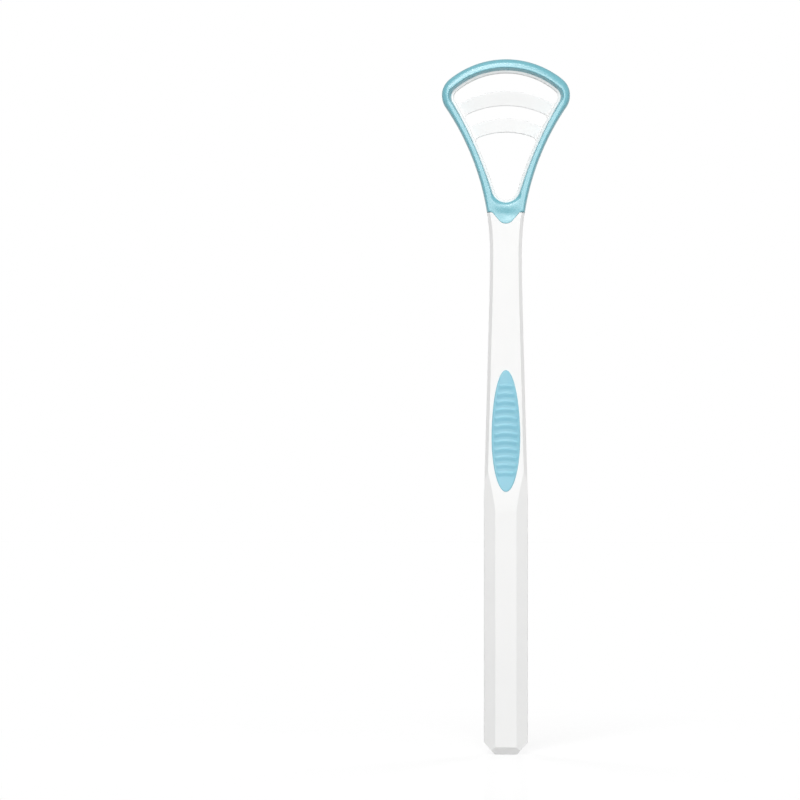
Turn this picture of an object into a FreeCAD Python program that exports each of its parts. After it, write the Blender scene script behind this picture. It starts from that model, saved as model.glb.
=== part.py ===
"""Tongue scraper: a rigid faceted handle that ends in a fan-shaped head with two arched scraper bars,
a soft rim moulded over the head and a soft ribbed thumb pad moulded into the handle.

Millimetres, +Z up along the handle from its butt to the head's crown. The thumb side faces -Y and the
origin is the centre of the flat butt. Depth is counted towards the thumb side, so y is minus the depth.
"""
import FreeCAD
import Part

import math
import os

from FreeCAD import Vector

# Whole tool
overall_length = 168.0
edge_radius = 0.8           # rounded long edges on the back of the handle and of the head
hairline = 0.001            # distance within which an edge counts as lying on a surface
edge_round_share = 0.95     # most of the skeleton's back wall that its rounded edge may take
along_share = 0.5           # least share of an edge's direction that counts as running along an axis

# Grip: an eight-sided bar with wide facets
grip_width = 10.6
grip_thickness = 8.4
grip_length = 58.8          # from the butt to the crease below the thumb hollow
grip_flat_width = 5.1       # flats on the thumb side and on the back
grip_facet_angle = 30.0     # degrees from the flats to the facets
grip_edge_radius = 0.35
butt_width = 5.3            # flat end face
butt_thickness = 6.0
butt_side_bevel = 2.9       # height of the bevels left and right
butt_face_bevel = 1.8       # height of the bevels on the thumb side and on the back
butt_edge_radius = 0.4

# Thumb hollow and neck
crease_angle = 4.0          # degrees of slope just above the crease
hollow_angle = 7.5          # steepest slope in degrees
hollow_crown_radius = 110.0
hollow_floor_radius = 80.0
taper_rise = 2.7            # height above the crease where the neck starts to narrow
waist_width = 7.7
waist_radius = 430.0
waist_round_share = 0.9     # most of the neck's run that the bend at the waist may take
neck_bevel = 0.8            # bevelled long edges on the thumb side

# Head outline, seen from the thumb side
head_width = 31.0
crown_radius = 21.7
corner_radius = 5.0
throat_drop = 34.7          # from the crown down to the bottom of the opening
throat_radius = 3.45
inner_corner_radius = 2.5   # corners of the opening inside the soft rim
arm_inner_radius = 107.0
web_height = 2.4            # from the opening down to the end of the soft rim
flare_length = 9.6          # from the end of the soft rim down to the waist

# Head skeleton, by depth
head_back = 2.0
frame_front = 0.4
ledge_width = 0.65          # skeleton showing inside the soft rim
bead_height = 0.5           # keying bead that the soft rim grips
bead_inset = 0.45
frame_inner_radius = 0.3

# Scraper bars, stacked below the crown
crown_slot = 4.4
upper_bar_width = 3.5
middle_slot = 3.05
lower_bar_width = 3.4
upper_bar_radius = 22.0
lower_bar_radius = 18.0
upper_bar_tilt = 11.0       # degrees, bar faces turned down towards the handle
lower_bar_tilt = 4.0
bar_thickness = 0.9
bar_depth = 0.5             # how far behind the middle plane the bars lie
slot_corner_radius = 1.0
bar_edge_radius = 0.2

# Soft rim
rim_band = 2.6              # width along the crown
rim_corner_band = 2.25      # width at the corners, sideways
rim_front = 2.2
rim_skirt = 0.5             # thickness down the outer side of the skeleton
rim_skirt_back = 1.1        # how far behind the middle plane the skirt reaches
rim_outer_radius = 1.0
rim_inner_radius = 0.7
rim_outer_round_share = 0.52    # most of the narrowest band that the rounded edges may take
rim_inner_round_share = 0.38
lobe_tip_radius = 2.2
lobe_length = 2.7
lobe_angle = 40.0           # degrees between the lobe's sides and the handle's axis
lobe_seat = 0.8             # depth of the lobe's seat in the neck
dish_depth = 0.6
dish_radius = 2.0
dish_drop = 2.4             # from the throat's edge to the middle of the dish
dish_tilt = 25.0            # degrees

# Thumb pad
pad_width = 6.9
pad_reach_up = 16.4         # from the widest place to the top
pad_reach_down = 13.0
pad_rise = 17.6             # from the crease to the widest place
pad_seat = 1.0              # depth of the pocket in the handle
pad_proud = 0.6
pad_edge_radius = 0.4
rib_count = 12
rib_pitch = 1.91
rib_rise = 9.3              # from the crease to the lowest rib
rib_arch_radius = 8.3
rib_radius = 0.42
rib_height = 0.3
rib_border = 0.75           # plain border around the ribs
anchor_radius = 0.9
anchor_length = 1.0
anchor_spacing = 14.0

# Heights and places that follow
throat_z = overall_length - throat_drop
rim_end_z = throat_z - web_height
waist_z = rim_end_z - flare_length
pad_z = grip_length + pad_rise


def at(across, height):
    """Point of an outline: across from the axis and up from the butt."""
    return Vector(across, 0, height)


def on_circle(centre, radius, angle):
    return centre + Vector(radius * math.cos(angle), 0, radius * math.sin(angle))


def bearing(start, end):
    """Angle of the way from one point to another."""
    return math.atan2(end.z - start.z, end.x - start.x)


def line(start, end):
    return Part.LineSegment(start, end).toShape()


def arc(centre, radius, start, end):
    """Arc around a centre from one angle to another."""
    middle = (start + end) / 2
    points = [on_circle(centre, radius, angle) for angle in (start, middle, end)]
    return Part.Arc(*points).toShape()


def circles_meet(first, first_radius, second, second_radius):
    """Crossing of two circles that lies to the left of the way from the first to the second."""
    gap = first.distanceToPoint(second)
    along = (gap ** 2 + first_radius ** 2 - second_radius ** 2) / (2 * gap)
    return on_circle(first, first_radius, bearing(first, second) + math.acos(along / first_radius))


def tangent_angle(point, centre, radius, side):
    """Angle on a circle where a line from a point outside touches it, on the chosen side (+1 or -1)."""
    return bearing(centre, point) + side * math.acos(radius / centre.distanceToPoint(point))


def outline(edges):
    return Part.Face(Part.Wire(Part.__sortEdges__(edges)))


def mirrored(edges):
    """Edges of a right half with their mirror images."""
    return edges + [edge.mirror(Vector(), Vector(1, 0, 0)) for edge in edges]


def slab(face, back, front):
    """Outline seen from the thumb side, given thickness between two depths."""
    return face.translated(Vector(0, -back, 0)).extrude(Vector(0, back - front, 0))


def middle_of(edge):
    return edge.valueAt((edge.FirstParameter + edge.LastParameter) / 2)


def lengthwise(solid):
    """Edges of a solid that run along the handle."""
    return [edge for edge in solid.Edges if abs(edge.tangentAt(edge.FirstParameter).z) > along_share]


def sideways(face, half_width):
    """Outline drawn with depth across, turned to face sideways and given width."""
    turned = face.rotated(Vector(), Vector(0, 0, 1), -90)
    return turned.translated(Vector(-half_width, 0, 0)).extrude(Vector(2 * half_width, 0, 0))


# Circles of the head's outer outline, right half
crown_centre = at(0, overall_length - crown_radius)
corner_across = head_width / 2 - corner_radius
corner_rise = math.sqrt((crown_radius - corner_radius) ** 2 - corner_across ** 2)
corner_centre = crown_centre + at(corner_across, corner_rise)
arm_across = waist_width / 2 - corner_centre.x
arm_height = corner_centre.z - waist_z
arm_radius = (arm_across ** 2 + arm_height ** 2 - corner_radius ** 2) / (2 * (corner_radius - arm_across))
arm_centre = at(waist_width / 2 + arm_radius, waist_z)

# Circles of the opening inside the soft rim, right half
throat_centre = at(0, throat_z + throat_radius)
inner_crown_radius = crown_radius - rim_band
inner_corner_across = head_width / 2 - rim_corner_band - inner_corner_radius
inner_corner_rise = math.sqrt((inner_crown_radius - inner_corner_radius) ** 2 - inner_corner_across ** 2)
inner_corner_centre = crown_centre + at(inner_corner_across, inner_corner_rise)
inner_arm_centre = circles_meet(inner_corner_centre, arm_inner_radius + inner_corner_radius,
                                throat_centre, arm_inner_radius + throat_radius)

# Circles of the thumb hollow, drawn with depth across
crease = at(grip_thickness / 2, grip_length)
crease_slope = math.radians(crease_angle)
hollow_slope = math.radians(hollow_angle)
neck_end = at(head_back, rim_end_z)
hollow_crown_centre = on_circle(crease, -hollow_crown_radius, crease_slope)
hollow_floor_centre = on_circle(hollow_crown_centre, hollow_crown_radius + hollow_floor_radius, hollow_slope)
floor_touch = tangent_angle(neck_end, hollow_floor_centre, hollow_floor_radius, 1)


def thumb_side(shift):
    """Right half of the side view from the butt up to the soft rim, moved by a shift in depth."""
    offset = at(shift, 0)
    start = crease + at(grip_length * math.tan(crease_slope), -grip_length)
    floor_end = on_circle(hollow_floor_centre, hollow_floor_radius, floor_touch)
    return [
        line(start + offset, crease + offset),
        arc(hollow_crown_centre + offset, hollow_crown_radius, crease_slope, hollow_slope),
        arc(hollow_floor_centre + offset, hollow_floor_radius, hollow_slope + math.pi, floor_touch),
        line(floor_end + offset, neck_end + offset),
    ]


def thumb_depth(height):
    """Depth of the thumb side at a height between the crease and the soft rim."""
    crown_top = on_circle(hollow_crown_centre, hollow_crown_radius, hollow_slope)
    floor_top = on_circle(hollow_floor_centre, hollow_floor_radius, floor_touch)
    if height < crown_top.z:
        rise = height - hollow_crown_centre.z
        return hollow_crown_centre.x + math.sqrt(hollow_crown_radius ** 2 - rise ** 2)
    if height < floor_top.z:
        rise = height - hollow_floor_centre.z
        return hollow_floor_centre.x - math.sqrt(hollow_floor_radius ** 2 - rise ** 2)
    return neck_end.x + (neck_end.z - height) * math.tan(floor_touch - math.pi)


def arm_point(inset, height):
    """Point on the arm's outer edge at a height, moved in by an inset."""
    radius = arm_radius + inset
    return on_circle(arm_centre, radius, math.pi - math.asin((height - waist_z) / radius))


def head_outline(inset):
    """Outer outline of the head from the crown to the end of the soft rim, moved in by an inset."""
    corner_start = bearing(crown_centre, corner_centre)
    corner_end = bearing(corner_centre, arm_centre)
    arm_end = arm_point(inset, rim_end_z)
    return outline(mirrored([
        arc(crown_centre, crown_radius - inset, math.pi / 2, corner_start),
        arc(corner_centre, corner_radius - inset, corner_start, corner_end),
        arc(arm_centre, arm_radius + inset, corner_end + math.pi, bearing(arm_centre, arm_end)),
        line(arm_end, at(0, rim_end_z)),
    ]))


def opening_outline(inset):
    """Opening inside the head's loop, made smaller by an inset."""
    corner_start = bearing(crown_centre, inner_corner_centre)
    corner_end = bearing(inner_corner_centre, inner_arm_centre)
    throat_start = bearing(throat_centre, inner_arm_centre)
    return outline(mirrored([
        arc(crown_centre, inner_crown_radius - inset, math.pi / 2, corner_start),
        arc(inner_corner_centre, inner_corner_radius - inset, corner_start, corner_end),
        arc(inner_arm_centre, arm_inner_radius + inset, corner_end + math.pi, throat_start + math.pi),
        arc(throat_centre, throat_radius - inset, throat_start, -math.pi / 2),
    ]))


def neck_outline():
    """Handle seen from the thumb side, wider than the grip's own flats below the neck."""
    grip_side = at(grip_width / 2, grip_length + taper_rise)
    widening = (grip_width - waist_width) / 2
    fullest_bend = (widening ** 2 + (waist_z - grip_side.z) ** 2) / (2 * widening)
    bend = min(waist_radius, waist_round_share * fullest_bend)
    waist_centre = at(waist_width / 2 + bend, waist_z)
    touch = tangent_angle(grip_side, waist_centre, bend, -1)
    neck_start = on_circle(waist_centre, bend, touch)
    foot = grip_side - (neck_start - grip_side) * (grip_side.z / (neck_start.z - grip_side.z))
    arm_end = arm_point(0, rim_end_z)
    return outline(mirrored([
        line(at(0, 0), foot),
        line(foot, neck_start),
        arc(waist_centre, bend, touch, -math.pi),
        arc(arm_centre, arm_radius, math.pi, bearing(arm_centre, arm_end)),
        line(arm_end, at(0, rim_end_z)),
    ]))


def grip_outline():
    """Eight-sided section of the grip, seen from the butt."""
    flat = grip_flat_width / 2
    side = grip_width / 2
    face = grip_thickness / 2
    shoulder = face - (side - flat) * math.tan(math.radians(grip_facet_angle))
    quarter = [(flat, face), (side, shoulder), (side, -shoulder), (flat, -face)]
    corners = quarter + [(-across, -depth) for across, depth in quarter]
    points = [Vector(across, -depth, 0) for across, depth in corners]
    return Part.Face(Part.makePolygon(points + points[:1]))


def bevel_outline(width, full_width, bevel):
    """Wedge that is as wide as the butt's end face at the bottom and as wide as the grip above the bevel."""
    flare = (full_width - width) / 2 / bevel
    turn = math.atan2(1, flare)
    shorten = butt_edge_radius * math.tan(turn / 2)
    round_centre = at(width / 2 - shorten, butt_edge_radius)
    round_end = on_circle(round_centre, butt_edge_radius, turn - math.pi / 2)
    top = at(width / 2 + flare * overall_length, overall_length)
    return outline(mirrored([
        line(at(0, 0), at(round_centre.x, 0)),
        arc(round_centre, butt_edge_radius, -math.pi / 2, turn - math.pi / 2),
        line(round_end, top),
        line(top, at(0, overall_length)),
    ]))


def pad_outline(inset):
    """Egg-shaped outline of the thumb pad, moved in by an inset."""
    centre = at(0, pad_z)
    across = pad_width / 2 - inset
    halves = []
    for reach in (pad_reach_up - inset, inset - pad_reach_down):
        ellipse = Part.Ellipse(centre + at(0, reach), centre + at(across, 0), centre)
        halves.append(Part.ArcOfEllipse(ellipse, -math.pi / 2, math.pi / 2).toShape())
    return outline(halves)


def lobe_outline():
    """Tongue of the soft rim that runs down onto the neck."""
    lean = math.radians(lobe_angle)
    tip_centre = at(0, rim_end_z - lobe_length + lobe_tip_radius)
    touch = on_circle(tip_centre, lobe_tip_radius, -lean)
    shoulder = touch + at((rim_end_z - touch.z) * math.tan(lean), rim_end_z - touch.z)
    return outline(mirrored([
        arc(tip_centre, lobe_tip_radius, -math.pi / 2, -lean),
        line(touch, shoulder),
        line(shoulder, at(0, rim_end_z)),
    ]))


def ring(outer_inset, inner_inset):
    """Loop of the head between its outer outline and its opening."""
    return head_outline(outer_inset).cut(opening_outline(inner_inset)).Faces[0]


def bar_band(top, width, radius):
    """Arched band between two equal arcs, wider than the head."""
    disc = Part.Face(Part.Wire(Part.makeCircle(radius, at(0, top - radius), Vector(0, -1, 0))))
    return disc.cut(disc.translated(at(0, -width)))


def edges_at(solid, depth, inset_face):
    """Edges of a solid that run along an outline at a given depth."""
    guide = inset_face.OuterWire.translated(Vector(0, -depth, 0))
    return [edge for edge in solid.Edges
            if guide.distToShape(Part.Vertex(middle_of(edge)))[0] < hairline
            and abs(middle_of(edge).z - rim_end_z) > hairline]


def make_blank():
    """Handle before its grip is faceted: the front view crossed with the side view, with eased long edges."""
    side_edges = thumb_side(0)
    foot = side_edges[0].Vertexes[0].Point
    closing = [line(at(0, 0), foot), line(neck_end, at(0, rim_end_z))]
    side_view = sideways(outline(mirrored(side_edges + closing)), grip_width)
    blank = slab(neck_outline(), -2 * grip_thickness, 2 * grip_thickness).common(side_view)
    blank = blank.makeChamfer(neck_bevel, [edge for edge in lengthwise(blank) if middle_of(edge).y < 0])
    return blank.makeFillet(edge_radius, [edge for edge in lengthwise(blank) if middle_of(edge).y > 0])


def make_thumb_pad():
    """Soft pad: a layer that follows the thumb hollow, with arched ribs and two anchors into the handle."""
    front = thumb_side(pad_proud)
    back = thumb_side(-pad_seat)
    foot = line(front[0].Vertexes[0].Point, back[0].Vertexes[0].Point)
    top = line(front[-1].Vertexes[1].Point, back[-1].Vertexes[1].Point)
    layer = sideways(outline(front + back + [foot, top]), grip_width)
    pad = slab(pad_outline(0), 0, grip_thickness).common(layer).Solids[0]
    border = []
    for edge in pad.Edges:
        middle = middle_of(edge)
        off_surface = abs(-middle.y - thumb_depth(middle.z) - pad_proud)
        if off_surface < hairline and not isinstance(edge.Curve, Part.Line):
            border.append(edge)
    pad = pad.makeFillet(pad_edge_radius, border)

    ribbed = slab(pad_outline(rib_border), 0, grip_thickness)
    additions = []
    for number in range(rib_count):
        height = grip_length + rib_rise + number * rib_pitch
        depth = thumb_depth(height) + pad_proud + rib_height - rib_radius
        centre = Vector(0, -depth, height - rib_arch_radius)
        additions.append(Part.makeTorus(rib_arch_radius, rib_radius, centre, Vector(0, 1, 0)).common(ribbed))
    for side in (-1, 1):
        height = pad_z + side * anchor_spacing / 2
        foot = Vector(0, -thumb_depth(height) + pad_seat + anchor_length, height)
        additions.append(Part.makeCylinder(anchor_radius, pad_seat + anchor_length, foot, Vector(0, -1, 0)))
    return pad.fuse(additions).removeSplitter().Solids[0]


def make_grip():
    """Faceted bar with rounded edges that the handle is trimmed to."""
    bar = grip_outline().extrude(at(0, rim_end_z))
    return bar.makeFillet(grip_edge_radius, lengthwise(bar))


def make_handle(thumb_pad):
    """Rigid grip and neck, with the pocket of the thumb pad and the seat of the rim's lobe."""
    front_bevels = bevel_outline(butt_width, grip_width, butt_side_bevel)
    side_bevels = bevel_outline(butt_thickness, grip_thickness, butt_face_bevel)
    handle = make_blank().common(make_grip())
    handle = handle.common(slab(front_bevels, -grip_thickness, grip_thickness))
    handle = handle.common(sideways(side_bevels, grip_width))
    lobe = slab(lobe_outline(), head_back - lobe_seat, grip_thickness)
    return handle.cut(thumb_pad).cut(lobe).removeSplitter().Solids[0]


def make_head_frame():
    """Skeleton loop: a full-width back, a narrower front beside the rim's skirt, and a keying bead."""
    back = slab(ring(0, ledge_width), -head_back, -rim_skirt_back)
    front = slab(ring(rim_skirt, ledge_width), -rim_skirt_back, frame_front)
    bead = slab(ring(rim_skirt + bead_inset, -bead_inset), frame_front, frame_front + bead_height)
    frame = back.fuse([front, bead]).removeSplitter()
    back_round = min(edge_radius, edge_round_share * (head_back - rim_skirt_back))
    frame = frame.makeFillet(back_round, edges_at(frame, -head_back, head_outline(0)))
    inner = opening_outline(ledge_width)
    inner_edges = edges_at(frame, -head_back, inner) + edges_at(frame, frame_front, inner)
    return frame.makeFillet(frame_inner_radius, inner_edges).Solids[0]


def make_bars():
    """Two arched bars with flared ends that meet the skeleton, each tilted towards the handle."""
    upper_top = overall_length - rim_band - ledge_width - crown_slot
    lower_top = upper_top - upper_bar_width - middle_slot
    sizes = ((upper_top, upper_bar_width, upper_bar_radius, upper_bar_tilt),
             (lower_top, lower_bar_width, lower_bar_radius, lower_bar_tilt))
    opening = opening_outline(ledge_width)
    slots = opening
    for top, width, radius, _ in sizes:
        slots = slots.cut(bar_band(top, width, radius))
    webs = opening
    for slot in slots.Faces:
        webs = webs.cut(slot.makeOffset2D(-slot_corner_radius).makeOffset2D(slot_corner_radius))
    bars = []
    for top, width, radius, tilt in sizes:
        centre = at(0, top - width / 2)
        face = min(webs.Faces, key=lambda web: web.distToShape(Part.Vertex(centre))[0])
        layer = Part.makeBox(head_width, bar_thickness, head_width)
        layer.translate(Vector(-head_width / 2, bar_depth - bar_thickness / 2, centre.z - head_width / 2))
        layer.rotate(centre + Vector(0, bar_depth, 0), Vector(1, 0, 0), tilt)
        bar = slab(face, -head_width, head_width).common(layer).Solids[0]
        rounded = []
        for edge in bar.Edges:
            middle = middle_of(edge)
            clear_of_frame = opening.OuterWire.distToShape(Part.Vertex(at(middle.x, middle.z)))[0] > hairline
            runs_along = abs(edge.tangentAt(edge.FirstParameter).y) < along_share
            if clear_of_frame and runs_along:
                rounded.append(edge)
        bars.append(bar.makeFillet(bar_edge_radius, rounded).Solids[0])
    return bars


def make_dish():
    """Round groove below the throat that rises out of the rim towards the arms."""
    reach = throat_radius + dish_drop
    lowest = throat_centre - Vector(0, rim_front - dish_depth + dish_radius, reach)
    dish = Part.makeTorus(reach, dish_radius, lowest + at(0, reach), Vector(0, 1, 0))
    return dish.rotated(lowest, Vector(1, 0, 0), dish_tilt)


def make_soft_rim(head_frame):
    """Soft rim over the front and the outer side of the skeleton, with its web, dish and lobe."""
    band = slab(ring(0, 0), -rim_skirt_back, rim_front)
    lobe = slab(lobe_outline(), head_back - lobe_seat, rim_front)
    rim = band.fuse(lobe).removeSplitter()
    outer = head_outline(0)
    inner = opening_outline(0)
    narrowest = outer.OuterWire.distToShape(inner.OuterWire)[0]
    inner_round = min(rim_inner_radius, rim_inner_round_share * narrowest)
    outer_round = min(rim_outer_radius, rim_outer_round_share * narrowest)
    rim = rim.makeFillet(inner_round, edges_at(rim, rim_front, inner))
    rim = rim.makeFillet(outer_round, edges_at(rim, rim_front, outer))
    return rim.cut(make_dish()).cut(head_frame).Solids[0]


def main():
    thumb_pad = make_thumb_pad()
    head_frame = make_head_frame()
    upper_bar, lower_bar = make_bars()
    pieces = {
        "handle": make_handle(thumb_pad),
        "head_frame": head_frame,
        "upper_bar": upper_bar,
        "lower_bar": lower_bar,
        "soft_rim": make_soft_rim(head_frame),
        "thumb_pad": thumb_pad,
    }
    os.makedirs("parts", exist_ok=True)
    for name, solid in pieces.items():
        solid.exportStep(f"parts/{name}.step")


if __name__ == "__main__":
    main()
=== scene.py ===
import math

import bpy
import numpy as np
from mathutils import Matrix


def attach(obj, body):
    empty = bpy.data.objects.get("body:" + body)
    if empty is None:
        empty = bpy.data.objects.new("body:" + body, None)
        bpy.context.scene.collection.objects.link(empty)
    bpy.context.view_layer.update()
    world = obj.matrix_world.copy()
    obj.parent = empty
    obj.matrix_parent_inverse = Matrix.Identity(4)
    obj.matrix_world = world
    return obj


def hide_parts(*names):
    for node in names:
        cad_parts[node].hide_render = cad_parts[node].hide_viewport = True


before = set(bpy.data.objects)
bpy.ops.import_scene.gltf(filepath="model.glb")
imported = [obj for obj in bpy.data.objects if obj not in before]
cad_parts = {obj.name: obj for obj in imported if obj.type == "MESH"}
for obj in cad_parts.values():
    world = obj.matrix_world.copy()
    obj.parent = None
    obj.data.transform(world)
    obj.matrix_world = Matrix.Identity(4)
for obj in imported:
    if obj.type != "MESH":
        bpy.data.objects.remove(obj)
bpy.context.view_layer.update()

MM = 0.001
TINY = 1e-6
SHARP_EDGE = math.radians(50.0)

# Head outline
OVERALL_LENGTH = 168.0
HEAD_WIDTH = 31.0
CROWN_RADIUS = 21.7
CORNER_RADIUS = 5.0
WAIST_WIDTH = 7.7
WAIST_Z = 121.3
RIM_END_Z = 130.9

# Opening of the head inside the soft rim
RIM_BAND = 2.6
RIM_CORNER_BAND = 2.25
INNER_CORNER_RADIUS = 2.5
ARM_INNER_RADIUS = 107.0
THROAT_Z = 133.3
THROAT_RADIUS = 3.45

# Lobe of the rim on the neck
LOBE_TIP_RADIUS = 2.2
LOBE_LENGTH = 2.7
LOBE_ANGLE = math.radians(40.0)

# Points on the stretches of the rim's right half
CROWN_POINTS = 130
CORNER_POINTS = 90
ARM_POINTS = 170
FOOT_POINTS = 40
EDGE_POINTS = 14
FLANK_POINTS = 26
TIP_POINTS = 26

# Way along these stretches, each counted as 1
CROWN_FADE = (1.45, 2.3)        # the crown's section turns into the arms'
THROAT_FADE = (2.72, 3.7)       # the arms' section turns into the throat's
LOWER_EDGE_START = 4.0

# Depths and walls of the rim that are the same all round, and the lobe's own
RIM_FRONT = 2.2
RIM_UNDERSIDE = 0.95
RIM_LEDGE = 0.41                # foot of the inner wall
RIM_INNER_WALL = 0.35           # thickness
RIM_SKIRT = 0.5                 # thickness
RIM_SKIRT_BACK = -1.1
LOBE_UNDERSIDE = 1.2
LEAST_WALL = 0.05

# Section of the rim on the arms, on the crown and at the throat
OUTER_ROUND = (0.7, 1.8, 0.7)   # width of the round along the outer edge
OUTER_FOOT = (0.6, 0.9, 0.6)    # depth where that round begins
INNER_SLOPE = (0.3, 0.95, 1.0)  # width of the slope along the inner edge
INNER_FOOT = (1.2, 0.6, 1.8)    # depth where that slope ends
INNER_BEND = (0.5, 0.45, 0.9)   # how gently the slope begins, as a share of its width

# Section along the lower edge, and limits of the section
LOWER_ROUND = 0.15
LOWER_FOOT = 1.9
ROUND_BANDS = (2.5, RIM_BAND)   # a narrow and a full band
ROUND_SHARES = (0.58, 0.7)      # largest share of each that the outer round takes
LEAST_CREST = 0.12

# Rows of points across the rim
ROUND_ROWS = 18
CREST_ROWS = 6
SLOPE_ROWS = 16

# Dish below the throat
DISH_DEPTH = 0.25
DISH_REACH = 6.35               # from the throat's centre to the deepest line
DISH_SPAN = 1.75                # from there to the dish's edges
DISH_TURN = (-0.15, 0.75)       # turn from straight down, in radians, over which it fades out

# Thumb hollow
GRIP_DEPTH = 4.2
GRIP_LENGTH = 58.8
NECK_END_DEPTH = 2.0
CREASE_SLOPE = math.radians(4.0)
HOLLOW_SLOPE = math.radians(7.5)
HOLLOW_CROWN_RADIUS = 110.0
HOLLOW_FLOOR_RADIUS = 80.0

# Thumb pad
PAD_Z = 76.4                    # where the two half ellipses of its outline meet
PAD_WIDTH = 6.9
PAD_REACH_UP = 16.4
PAD_REACH_DOWN = 13.0
PAD_SEAT = 0.98                 # below the hollow's surface
PAD_PROUD = 0.45                # above it in the middle
PAD_LIP = 0.25                  # above it near the outline
PAD_EDGE = 0.25                 # width of the round along the outline
PAD_ROWS = 620
PAD_COLUMNS = 45
PAD_TIP_ANGLE = 0.02            # left out at each tip of the outline, in radians

# Ribs of the pad
RIB_COUNT = 12
RIB_PITCH = 1.91
RIB_LOWEST_Z = 68.1
RIB_ARCH_RADIUS = 8.3
RIB_HEIGHT = 0.15
RIB_ABOVE = 0.5                 # from a rib's crest up to its foot
RIB_BELOW = 1.1                 # from a rib's crest down to its foot
RIB_BORDER = (0.4, 0.95)        # distance from the outline over which the ribs fade in


def ease(value, low, high):
    """Smooth step: 0 below low, 1 above high, and 3t^2 - 2t^3 of the share t in between."""
    share = np.clip((value - low) / (high - low), 0.0, 1.0)
    return share * share * (3.0 - 2.0 * share)


def half_wave(past):
    """Cosine bump: 1 at zero, falling to 0 at one either way and staying there."""
    return 0.5 + 0.5 * np.cos(math.pi * np.clip(past, -1.0, 1.0))


def arc(centre, radius, start, end, count):
    """Arc in the head's plan: the centre plus the radius at evenly spread angles, the last one left out."""
    angle = np.linspace(start, end, count, endpoint=False)
    return np.stack([centre[0] + radius * np.cos(angle), centre[1] + radius * np.sin(angle)], axis=1)


def run(start, end, count):
    """Straight run in the head's plan: points spread evenly from start to end, the last one left out."""
    share = np.linspace(0.0, 1.0, count, endpoint=False)[:, None]
    return np.asarray(start) * (1.0 - share) + np.asarray(end) * share


def bearing(start, end):
    """Angle of the way from one point to another."""
    return math.atan2(end[1] - start[1], end[0] - start[0])


def on_circle(centre, radius, angle):
    """Point on a circle at an angle."""
    return np.array([centre[0] + radius * math.cos(angle), centre[1] + radius * math.sin(angle)])


def head_circles():
    """Centres of the circles that bound the rim, right half: each corner circle touches the crown circle
    from inside, each arm circle touches the corner circle from outside, and the inner arm circle touches
    the throat circle too."""
    crown = np.array([0.0, OVERALL_LENGTH - CROWN_RADIUS])
    across = HEAD_WIDTH / 2 - CORNER_RADIUS
    corner = crown + [across, math.sqrt((CROWN_RADIUS - CORNER_RADIUS) ** 2 - across ** 2)]
    reach = WAIST_WIDTH / 2 - corner[0]
    drop = corner[1] - WAIST_Z
    arm_radius = (reach ** 2 + drop ** 2 - CORNER_RADIUS ** 2) / (2 * (CORNER_RADIUS - reach))
    arm = np.array([WAIST_WIDTH / 2 + arm_radius, WAIST_Z])

    throat = np.array([0.0, THROAT_Z + THROAT_RADIUS])
    inner_radius = CROWN_RADIUS - RIM_BAND
    across = HEAD_WIDTH / 2 - RIM_CORNER_BAND - INNER_CORNER_RADIUS
    inner_corner = crown + [across, math.sqrt((inner_radius - INNER_CORNER_RADIUS) ** 2 - across ** 2)]
    near = ARM_INNER_RADIUS + INNER_CORNER_RADIUS
    far = ARM_INNER_RADIUS + THROAT_RADIUS
    gap = np.linalg.norm(throat - inner_corner)
    along = (gap ** 2 + near ** 2 - far ** 2) / (2 * gap)
    inner_arm = on_circle(inner_corner, near, bearing(inner_corner, throat) + math.acos(along / near))
    return crown, corner, arm, arm_radius, throat, inner_radius, inner_corner, inner_arm


def closed(half, mirror):
    """Closed row: a right half that starts and ends on the axis, then its mirror image, backwards."""
    return np.concatenate([half, half[-2:0:-1] * mirror])


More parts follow.
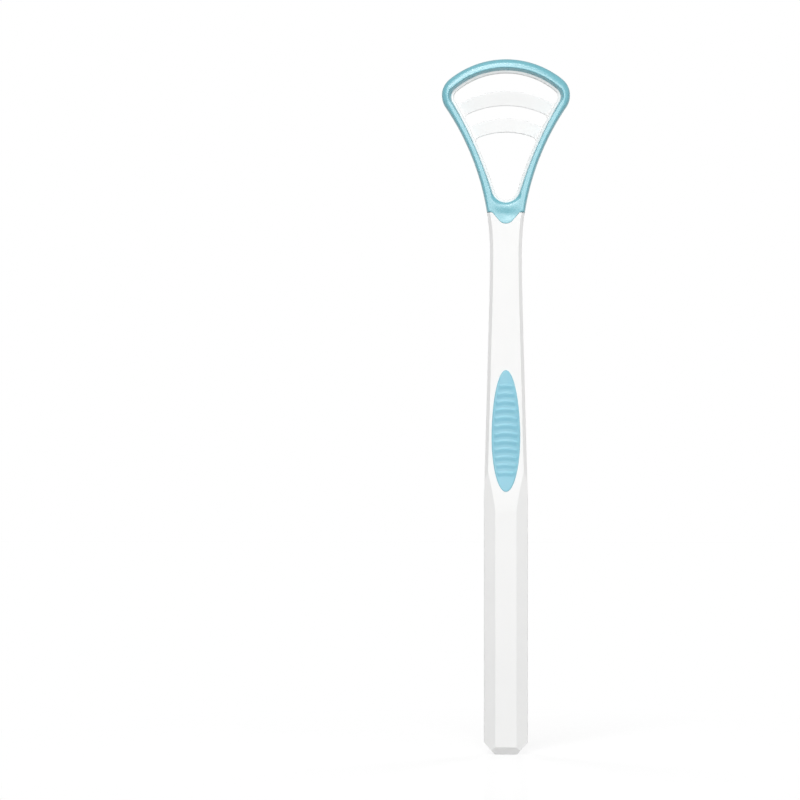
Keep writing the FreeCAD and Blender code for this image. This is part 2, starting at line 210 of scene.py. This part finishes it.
def rim_plan():
    """Outer and inner edge of the rim as two closed rows of plan points that face each other, with how much
    each pair belongs to the crown, to the throat and to the lower edge (0 to 1), and the throat's centre.

    The right half runs crown, corner, arm, arm foot, lower edge, lobe flank, lobe tip; around the throat each
    inner point lies on the ray from the throat's centre to its outer point."""
    crown, corner, arm, arm_radius, throat, inner_radius, inner_corner, inner_arm = head_circles()
    corner_start = bearing(crown, corner)
    corner_end = bearing(corner, arm)
    inner_start = bearing(crown, inner_corner)
    inner_end = bearing(inner_corner, inner_arm)
    throat_start = bearing(throat, inner_arm)

    ray = on_circle((0.0, 0.0), 1.0, throat_start)
    middle = np.dot(arm - throat, ray)
    reach = middle - math.sqrt(middle ** 2 - np.sum((arm - throat) ** 2) + arm_radius ** 2)
    arm_turn = bearing(arm, throat + reach * ray) % (2 * math.pi)
    arm_foot = math.pi - math.asin((RIM_END_Z - WAIST_Z) / arm_radius)
    foot = on_circle(arm, arm_radius, arm_foot)

    tip = np.array([0.0, RIM_END_Z - LOBE_LENGTH + LOBE_TIP_RADIUS])
    flank_end = on_circle(tip, LOBE_TIP_RADIUS, -LOBE_ANGLE)
    rise = RIM_END_Z - flank_end[1]
    flank_start = flank_end + [rise * math.tan(LOBE_ANGLE), rise]
    lobe_end = np.array([[0.0, RIM_END_Z - LOBE_LENGTH]])

    outer = [
        arc(crown, CROWN_RADIUS, math.pi / 2, corner_start, CROWN_POINTS),
        arc(corner, CORNER_RADIUS, corner_start, corner_end, CORNER_POINTS),
        arc(arm, arm_radius, corner_end + math.pi, arm_turn, ARM_POINTS),
        arc(arm, arm_radius, arm_turn, arm_foot, FOOT_POINTS),
        run(foot, flank_start, EDGE_POINTS),
        run(flank_start, flank_end, FLANK_POINTS),
        arc(tip, LOBE_TIP_RADIUS, -LOBE_ANGLE, -math.pi / 2, TIP_POINTS),
        lobe_end,
    ]
    beside_throat = np.concatenate(outer[3:]) - throat
    turn = np.arctan2(beside_throat[:, 1], beside_throat[:, 0])
    inner = [
        arc(crown, inner_radius, math.pi / 2, inner_start, CROWN_POINTS),
        arc(inner_corner, INNER_CORNER_RADIUS, inner_start, inner_end, CORNER_POINTS),
        arc(inner_arm, ARM_INNER_RADIUS, inner_end + math.pi, throat_start + math.pi, ARM_POINTS),
        throat + THROAT_RADIUS * np.stack([np.cos(turn), np.sin(turn)], axis=1),
    ]
    way = np.concatenate([number + np.linspace(0.0, 1.0, len(stretch), endpoint=False)
                          for number, stretch in enumerate(outer)])
    crown_part = 1.0 - ease(way, *CROWN_FADE)
    throat_part = ease(way, *THROAT_FADE)
    lower_part = np.clip(way - LOWER_EDGE_START, 0.0, 1.0)
    across = np.array([-1.0, 1.0])
    return (closed(np.concatenate(outer), across), closed(np.concatenate(inner), across),
            closed(crown_part, 1.0), closed(throat_part, 1.0), closed(lower_part, 1.0), throat)


def mesh_piece(name, points, faces):
    """Mesh object at the origin from an array of points in millimetres and a list of faces."""
    mesh = bpy.data.meshes.new(name)
    mesh.from_pydata((points * MM).tolist(), [], faces)
    mesh.shade_smooth()
    mesh.set_sharp_from_angle(angle=SHARP_EDGE)
    mesh.validate()
    piece = bpy.data.objects.new(name, mesh)
    bpy.context.scene.collection.objects.link(piece)
    return piece


def grid_faces(rows, columns, close_rows):
    """Quads of a grid whose columns close on themselves and, if asked, whose rows do too."""
    row = np.arange(rows if close_rows else rows - 1)[:, None]
    column = np.arange(columns)[None, :]
    following = (row + 1) % rows
    beside = (column + 1) % columns
    quads = np.stack([row * columns + column, row * columns + beside,
                      following * columns + beside, following * columns + column], axis=-1)
    return quads.reshape(-1, 4)


def make_rim():
    """Soft rim as a closed profile carried round the head's loop.

    Across the band the profile climbs the skirt, turns over the outer edge on a quarter of an ellipse, runs
    level along the crest, falls along a hyperbola to the inner edge and returns underneath. Its widths and
    depths change smoothly from the crown to the arms and the throat, where a dish is sunk in: one cosine wave
    of the distance from the throat's centre, faded out towards the arms."""
    outer, inner, crown_part, throat_part, lower_part, throat = rim_plan()
    across = inner - outer
    band = np.linalg.norm(across, axis=1)
    across = across / band[:, None]
    level = np.zeros_like(band)

    def vary(on_arm, on_crown, at_throat):
        """Value that runs from the arms' to the crown's and the throat's."""
        value = on_arm + (on_crown - on_arm) * crown_part
        return value + (at_throat - value) * throat_part

    def lower(value, on_lower_edge):
        """Value that runs to the lower edge's."""
        return value + (on_lower_edge - value) * lower_part

    widest_round = np.interp(band, ROUND_BANDS, ROUND_SHARES) * band
    outer_round = np.minimum(lower(vary(*OUTER_ROUND), LOWER_ROUND), widest_round)
    outer_foot = lower(vary(*OUTER_FOOT), LOWER_FOOT)
    inner_slope = np.minimum(vary(*INNER_SLOPE), band - outer_round - LEAST_CREST)
    inner_foot = vary(*INNER_FOOT)
    bend = vary(*INNER_BEND)
    crest = band - outer_round - inner_slope
    top = level + RIM_FRONT
    back = lower(level + RIM_SKIRT_BACK, LOBE_UNDERSIDE)
    underside = np.maximum(RIM_UNDERSIDE, back + LEAST_WALL)
    ledge = level + RIM_LEDGE
    skirt = level + RIM_SKIRT
    inner_wall = band - RIM_INNER_WALL

    profile = [(level, back), (level, (back + outer_foot) / 2)]
    front_start = len(profile)
    for angle in np.linspace(0.0, math.pi / 2, ROUND_ROWS):
        climb = (top - outer_foot) * math.sin(angle)
        profile.append((outer_round * (1.0 - math.cos(angle)), outer_foot + climb))
    for share in np.linspace(0.0, 1.0, CREST_ROWS + 1)[1:]:
        profile.append((outer_round + crest * share, top))
    for share in np.linspace(0.0, 1.0, SLOPE_ROWS + 1)[1:]:
        fall = (np.sqrt(share ** 2 + bend ** 2) - bend) / (np.sqrt(1.0 + bend ** 2) - bend)
        profile.append((band - inner_slope * (1.0 - share), top - (top - inner_foot) * fall))
    front = slice(front_start, len(profile))
    profile += [(band, ledge), (inner_wall, ledge), (inner_wall, underside)]
    profile += [(skirt, underside), (skirt, back)]
    reach = np.stack([width for width, _ in profile], axis=1)
    depth = np.stack([height for _, height in profile], axis=1)

    plan = outer[:, None, :] + across[:, None, :] * reach[:, :, None]
    away = plan - throat
    distance = np.linalg.norm(away, axis=2)
    turn = np.abs(np.arctan2(away[:, :, 0], -away[:, :, 1]))
    dish = DISH_DEPTH * half_wave((distance - DISH_REACH) / DISH_SPAN) * (1.0 - ease(turn, *DISH_TURN))
    depth[:, front] -= dish[:, front]
    points = np.stack([plan[:, :, 0], -depth, plan[:, :, 1]], axis=2).reshape(-1, 3)
    faces = grid_faces(len(outer), len(profile), True)
    return mesh_piece("soft_rim_moulding", points, faces.tolist())


def thumb_depth(height):
    """Depth of the thumb side above the crease: a convex arc, a hollow arc that touches it, then a straight
    taper from the hollow to the head. Both arcs are circles in the side view of depth and height."""
    crown = on_circle((GRIP_DEPTH, GRIP_LENGTH), -HOLLOW_CROWN_RADIUS, CREASE_SLOPE)
    floor = on_circle(crown, HOLLOW_CROWN_RADIUS + HOLLOW_FLOOR_RADIUS, HOLLOW_SLOPE)
    neck_end = np.array([NECK_END_DEPTH, RIM_END_Z])
    touch = bearing(floor, neck_end) + math.acos(HOLLOW_FLOOR_RADIUS / np.linalg.norm(neck_end - floor))
    crown_top = crown[1] + HOLLOW_CROWN_RADIUS * math.sin(HOLLOW_SLOPE)
    floor_top = floor[1] + HOLLOW_FLOOR_RADIUS * math.sin(touch)
    on_crown = crown[0] + np.sqrt(np.maximum(HOLLOW_CROWN_RADIUS ** 2 - (height - crown[1]) ** 2, 0.0))
    on_floor = floor[0] - np.sqrt(np.maximum(HOLLOW_FLOOR_RADIUS ** 2 - (height - floor[1]) ** 2, 0.0))
    on_taper = neck_end[0] + (neck_end[1] - height) * math.tan(touch - math.pi)
    return np.where(height < crown_top, on_crown, np.where(height < floor_top, on_floor, on_taper))


def make_pad():
    """Thumb pad as closed sections stacked along the handle inside an egg of two half ellipses.

    The top stands proud of the hollow by a lip, a quarter circle of the distance to the outline, and a low
    dome, a parabola of the place inside the egg. It carries ribs: a cosine wave each of the height, measured
    along arcs that sag towards the sides, shorter above the rib's crest than below it, faded out near the
    border."""
    half = PAD_WIDTH / 2
    tilt = np.linspace(PAD_TIP_ANGLE - math.pi / 2, math.pi / 2 - PAD_TIP_ANGLE, PAD_ROWS)
    reach = np.where(tilt > 0.0, PAD_REACH_UP, PAD_REACH_DOWN)[:, None]
    rise = reach * np.sin(tilt)[:, None]
    half_width = half * np.cos(tilt)[:, None]
    x = half_width * np.sin(np.linspace(-math.pi / 2, math.pi / 2, PAD_COLUMNS))
    z = np.repeat(PAD_Z + rise, PAD_COLUMNS, axis=1)

    ring = np.sqrt((x / half) ** 2 + (rise / reach) ** 2)
    slope = np.sqrt((x / half ** 2) ** 2 + (rise / reach ** 2) ** 2) / np.maximum(ring, TINY)
    inside = np.clip(1.0 - ring, 0.0, 1.0) / np.maximum(slope, TINY)
    edge = 1.0 - np.clip(inside / PAD_EDGE, 0.0, 1.0)
    lip = PAD_LIP * np.sqrt(1.0 - edge ** 2)
    dome = (PAD_PROUD - PAD_LIP) * (1.0 - np.clip(ring, 0.0, 1.0) ** 2)

    sag = RIB_ARCH_RADIUS - np.sqrt(RIB_ARCH_RADIUS ** 2 - x ** 2)
    count = (z + sag - RIB_LOWEST_Z) / RIB_PITCH
    nearest = np.clip(np.round(count), 0, RIB_COUNT - 1)
    past = (count - nearest) * RIB_PITCH
    wave = half_wave(np.where(past > 0.0, past / RIB_ABOVE, past / RIB_BELOW))
    ribs = RIB_HEIGHT * wave * ease(inside, *RIB_BORDER)

    top = np.stack([x, -(thumb_depth(z) + lip + dome + ribs), z], axis=2)
    seat_x = half_width * np.array([1.0, 0.0, -1.0])
    seat_z = np.repeat(PAD_Z + rise, 3, axis=1)
    seat = np.stack([seat_x, PAD_SEAT - thumb_depth(seat_z), seat_z], axis=2)
    sections = np.concatenate([top, seat], axis=1)
    columns = sections.shape[1]
    faces = grid_faces(PAD_ROWS, columns, False).tolist()
    faces += [list(range(columns))[::-1], list(range((PAD_ROWS - 1) * columns, PAD_ROWS * columns))]
    return mesh_piece("thumb_pad_moulding", sections.reshape(-1, 3), faces)


def new_material(name):
    """Node material with a principled shader; returns the material, its node tree and the shader."""
    material = bpy.data.materials.new(name)
    material.use_nodes = True
    tree = material.node_tree
    return material, tree, tree.nodes["Principled BSDF"]


def noise(tree, place, scale, detail, roughness):
    """Noise of a given number of features per metre, read at the place."""
    node = tree.nodes.new("ShaderNodeTexNoise")
    node.inputs["Scale"].default_value = scale
    node.inputs["Detail"].default_value = detail
    node.inputs["Roughness"].default_value = roughness
    tree.links.new(place, node.inputs["Vector"])
    return node.outputs["Fac"]


def spread(tree, value, low, high):
    """Value between 0 and 1 spread over a range."""
    node = tree.nodes.new("ShaderNodeMapRange")
    node.inputs["To Min"].default_value = low
    node.inputs["To Max"].default_value = high
    tree.links.new(value, node.inputs["Value"])
    return node.outputs["Result"]


def tint(tree, value, dark, light):
    """Colour between two tints."""
    node = tree.nodes.new("ShaderNodeMix")
    node.data_type = "RGBA"
    node.inputs["A"].default_value = (*dark, 1.0)
    node.inputs["B"].default_value = (*light, 1.0)
    tree.links.new(value, node.inputs["Factor"])
    return node.outputs["Result"]


def bump(tree, height, distance, strength, before=None):
    """Relief of a given depth in metres, on top of another."""
    node = tree.nodes.new("ShaderNodeBump")
    node.inputs["Distance"].default_value = distance
    node.inputs["Strength"].default_value = strength
    tree.links.new(height, node.inputs["Height"])
    if before is not None:
        tree.links.new(before, node.inputs["Normal"])
    return node.outputs["Normal"]


def object_place(tree, stretch):
    """Object coordinates, stretched along each axis."""
    place = tree.nodes.new("ShaderNodeTexCoord").outputs["Object"]
    mapping = tree.nodes.new("ShaderNodeMapping")
    mapping.inputs["Scale"].default_value = stretch
    tree.links.new(place, mapping.inputs["Vector"])
    return mapping.outputs["Vector"]


EVENLY = (1.0, 1.0, 1.0)
ALONG_HANDLE = (1.0, 1.0, 0.12)
WHITE_TINTS = ((0.835, 0.836, 0.832), (0.872, 0.872, 0.866))
RIM_TINTS = ((0.13, 0.415, 0.485), (0.155, 0.44, 0.515))
PAD_TINTS = ((0.215, 0.525, 0.64), (0.235, 0.55, 0.67))
WHITE_ROUGHNESS = (0.44, 0.58)
RIM_ROUGHNESS = (0.25, 0.31)
PAD_ROUGHNESS = (0.46, 0.53)


def satin_polypropylene():
    """White moulded plastic: faint cloudiness, flow marks drawn out along the handle, a fine eroded grain."""
    material, tree, shader = new_material("satin_polypropylene")
    even = object_place(tree, EVENLY)
    drawn = object_place(tree, ALONG_HANDLE)
    cloud = noise(tree, even, scale=70.0, detail=3.0, roughness=0.5)
    flow = noise(tree, drawn, scale=420.0, detail=2.0, roughness=0.45)
    grain = noise(tree, even, scale=5200.0, detail=2.0, roughness=0.55)
    tree.links.new(tint(tree, cloud, *WHITE_TINTS), shader.inputs["Base Color"])
    tree.links.new(spread(tree, flow, *WHITE_ROUGHNESS), shader.inputs["Roughness"])
    relief = bump(tree, flow, distance=0.00002, strength=0.25)
    relief = bump(tree, grain, distance=0.000004, strength=0.25, before=relief)
    tree.links.new(relief, shader.inputs["Normal"])
    shader.inputs["IOR"].default_value = 1.49
    shader.inputs["Specular IOR Level"].default_value = 0.3
    return material


def soft_elastomer(name, tints, roughness, scatter):
    """Pale blue soft plastic: faint pigment clouds, a dry satin skin and a fine grain, with a share of the
    light scattered inside."""
    material, tree, shader = new_material(name)
    even = object_place(tree, EVENLY)
    cloud = noise(tree, even, scale=160.0, detail=4.0, roughness=0.55)
    skin = noise(tree, even, scale=900.0, detail=3.0, roughness=0.5)
    grain = noise(tree, even, scale=6200.0, detail=2.0, roughness=0.6)
    tree.links.new(tint(tree, cloud, *tints), shader.inputs["Base Color"])
    tree.links.new(spread(tree, skin, *roughness), shader.inputs["Roughness"])
    relief = bump(tree, skin, distance=0.000012, strength=0.08)
    relief = bump(tree, grain, distance=0.000004, strength=0.06, before=relief)
    tree.links.new(relief, shader.inputs["Normal"])
    shader.inputs["IOR"].default_value = 1.5
    shader.inputs["Specular IOR Level"].default_value = 1.0
    shader.inputs["Subsurface Weight"].default_value = scatter
    shader.inputs["Subsurface Scale"].default_value = 0.0008
    shader.inputs["Subsurface Radius"].default_value = (1.0, 1.0, 1.0)
    return material


def dress(piece, material):
    """Gives a piece one material."""
    piece.data.materials.clear()
    piece.data.materials.append(material)


white = satin_polypropylene()
rim_blue = soft_elastomer("soft_elastomer_rim", RIM_TINTS, RIM_ROUGHNESS, scatter=0.0)
pad_blue = soft_elastomer("soft_elastomer_pad", PAD_TINTS, PAD_ROUGHNESS, scatter=0.8)

for node in ("handle", "head_frame", "upper_bar", "lower_bar"):
    dress(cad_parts[node], white)

rim = make_rim()
dress(rim, rim_blue)
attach(rim, "root")
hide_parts("soft_rim")

pad = make_pad()
dress(pad, pad_blue)
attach(pad, "root")
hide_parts("thumb_pad")

# Camera: square picture, straight in front of the object and turned aside to place it in the picture
PIXEL = 0.24221 * MM            # size of a pixel at the object
PICTURE = 800                   # pixels across
BUTT_ROW = 753.3                # pixel row of the butt
AXIS_COLUMN = 505.9             # pixel column of the handle's axis
CAMERA_AWAY = 1.0
CAMERA_NEAR = 0.01
OBJECT_ASIDE = (AXIS_COLUMN - PICTURE / 2) * PIXEL

camera = bpy.data.objects.new("camera", bpy.data.cameras.new("camera"))
camera.data.lens = camera.data.sensor_width * CAMERA_AWAY / (PICTURE * PIXEL)
camera.data.clip_start = CAMERA_NEAR
camera.location = (0.0, -CAMERA_AWAY, (BUTT_ROW - PICTURE / 2) * PIXEL)
camera.rotation_euler = (math.pi / 2, 0.0, math.atan(OBJECT_ASIDE / CAMERA_AWAY))
bpy.context.scene.collection.objects.link(camera)
bpy.context.scene.camera = camera

MIDDLE = (0.0, 0.0, 0.09)


def softbox(name, place, width, height, power, mirrored=True):
    """Rectangular lamp that faces the object's middle, left out of reflections if asked."""
    lamp = bpy.data.lights.new(name, "AREA")
    lamp.shape = "RECTANGLE"
    lamp.size = width
    lamp.size_y = height
    lamp.energy = power
    holder = bpy.data.objects.new(name, lamp)
    holder.location = place
    holder.visible_glossy = mirrored
    way = np.subtract(MIDDLE, place)
    tilt = math.acos(-way[2] / np.linalg.norm(way))
    holder.rotation_euler = (tilt, 0.0, math.atan2(way[1], way[0]) - math.pi / 2)
    bpy.context.scene.collection.objects.link(holder)


softbox("key_softbox", (-0.22, -1.28, 0.62), width=0.65, height=0.5, power=6.8)
softbox("front_softbox", (0.12, -1.38, 0.25), width=0.48, height=0.4, power=2.5)
softbox("high_softbox", (-0.1, -0.85, 0.85), width=0.6, height=0.14, power=3.6)
softbox("fill_softbox", (0.7, -1.1, 0.4), width=0.6, height=0.6, power=3.0, mirrored=False)
softbox("back_left_softbox", (-0.75, 1.05, 0.4), width=0.6, height=0.6, power=8.0, mirrored=False)
softbox("back_right_softbox", (0.75, 1.05, 0.4), width=0.6, height=0.6, power=8.0, mirrored=False)


def seen_or_mirrored(tree):
    """1 for a ray from the camera, from a reflection or through a clear piece, and 0 for any other."""
    rays = tree.nodes.new("ShaderNodeLightPath").outputs
    seen = rays["Is Camera Ray"]
    for other in ("Is Glossy Ray", "Is Transmission Ray"):
        either = tree.nodes.new("ShaderNodeMath")
        either.operation = "MAXIMUM"
        tree.links.new(seen, either.inputs[0])
        tree.links.new(rays[other], either.inputs[1])
        seen = either.outputs["Value"]
    return seen


def world_light(level):
    """White surroundings for the eye and for reflections, and a lower even level for the light they give."""
    world = bpy.data.worlds.new("studio")
    world.use_nodes = True
    tree = world.node_tree
    background = tree.nodes["Background"]
    background.inputs["Color"].default_value = (1.0, 1.0, 1.0, 1.0)
    tree.links.new(spread(tree, seen_or_mirrored(tree), level, 1.0), background.inputs["Strength"])
    bpy.context.scene.world = world


world_light(level=0.18)

# Floor
FLOOR_HALF = 1.5
FLOOR_BOUNCE = 0.54             # grey of the light that it throws back at the object
FLOOR_NEAR = 0.35               # grey near the object's foot, which takes the shadow
FLOOR_NEAR_GLOW = 0.725         # light added to that grey
FLOOR_FAR_GLOW = 1.0            # plain white further out
FLOOR_FADE = (0.06, 0.16)       # distance from the foot over which the one turns into the other
FLOOR_POLISH = 0.08
FLOOR_POLISH_ROUGHNESS = 0.12


def matt(tree, grey):
    """Matt grey shader."""
    node = tree.nodes.new("ShaderNodeBsdfDiffuse")
    node.inputs["Color"].default_value = (grey, grey, grey, 1.0)
    return node.outputs["BSDF"]


def polish(tree, roughness):
    """White mirror of a given roughness."""
    node = tree.nodes.new("ShaderNodeBsdfGlossy")
    node.inputs["Color"].default_value = (1.0, 1.0, 1.0, 1.0)
    node.inputs["Roughness"].default_value = roughness
    return node.outputs["BSDF"]


def glow(tree, strength):
    """White light given off evenly."""
    node = tree.nodes.new("ShaderNodeEmission")
    node.inputs["Strength"].default_value = strength
    return node.outputs["Emission"]


def added(tree, one, other):
    """Sum of two shaders."""
    node = tree.nodes.new("ShaderNodeAddShader")
    tree.links.new(one, node.inputs[0])
    tree.links.new(other, node.inputs[1])
    return node.outputs["Shader"]


def blend(tree, share, one, other):
    """One shader where the share, a number or a node's output, is 0 and the other where it is 1."""
    node = tree.nodes.new("ShaderNodeMixShader")
    if isinstance(share, float):
        node.inputs["Fac"].default_value = share
    else:
        tree.links.new(share, node.inputs["Fac"])
    tree.links.new(one, node.inputs[1])
    tree.links.new(other, node.inputs[2])
    return node.outputs["Shader"]


def away_from_foot(tree, near, far):
    """Smooth step of the distance from the origin, 0 nearer than near and 1 further than far."""
    length = tree.nodes.new("ShaderNodeVectorMath")
    length.operation = "LENGTH"
    tree.links.new(tree.nodes.new("ShaderNodeTexCoord").outputs["Object"], length.inputs[0])
    step = tree.nodes.new("ShaderNodeMapRange")
    step.interpolation_type = "SMOOTHSTEP"
    step.inputs["From Min"].default_value = near
    step.inputs["From Max"].default_value = far
    tree.links.new(length.outputs["Value"], step.inputs["Value"])
    return step.outputs["Result"]


def pale_floor():
    """White floor: a flat square that shows the object's shadow near its foot and is plain white further out,
    with a faint polish. The light it throws back is that of a matt grey."""
    corners = FLOOR_HALF / MM * np.array([[-1, -1, 0], [1, -1, 0], [1, 1, 0], [-1, 1, 0]])
    floor = mesh_piece("floor", corners, [[0, 1, 2, 3]])
    material = bpy.data.materials.new("pale_floor")
    material.use_nodes = True
    tree = material.node_tree
    tree.nodes.clear()
    shaded = added(tree, matt(tree, FLOOR_NEAR), glow(tree, FLOOR_NEAR_GLOW))
    white_out = blend(tree, away_from_foot(tree, *FLOOR_FADE), shaded, glow(tree, FLOOR_FAR_GLOW))
    polished = blend(tree, FLOOR_POLISH, white_out, polish(tree, FLOOR_POLISH_ROUGHNESS))
    surface = blend(tree, seen_or_mirrored(tree), matt(tree, FLOOR_BOUNCE), polished)
    tree.links.new(surface, tree.nodes.new("ShaderNodeOutputMaterial").inputs["Surface"])
    dress(floor, material)


pale_floor()

bpy.context.scene.view_settings.view_transform = "Standard"
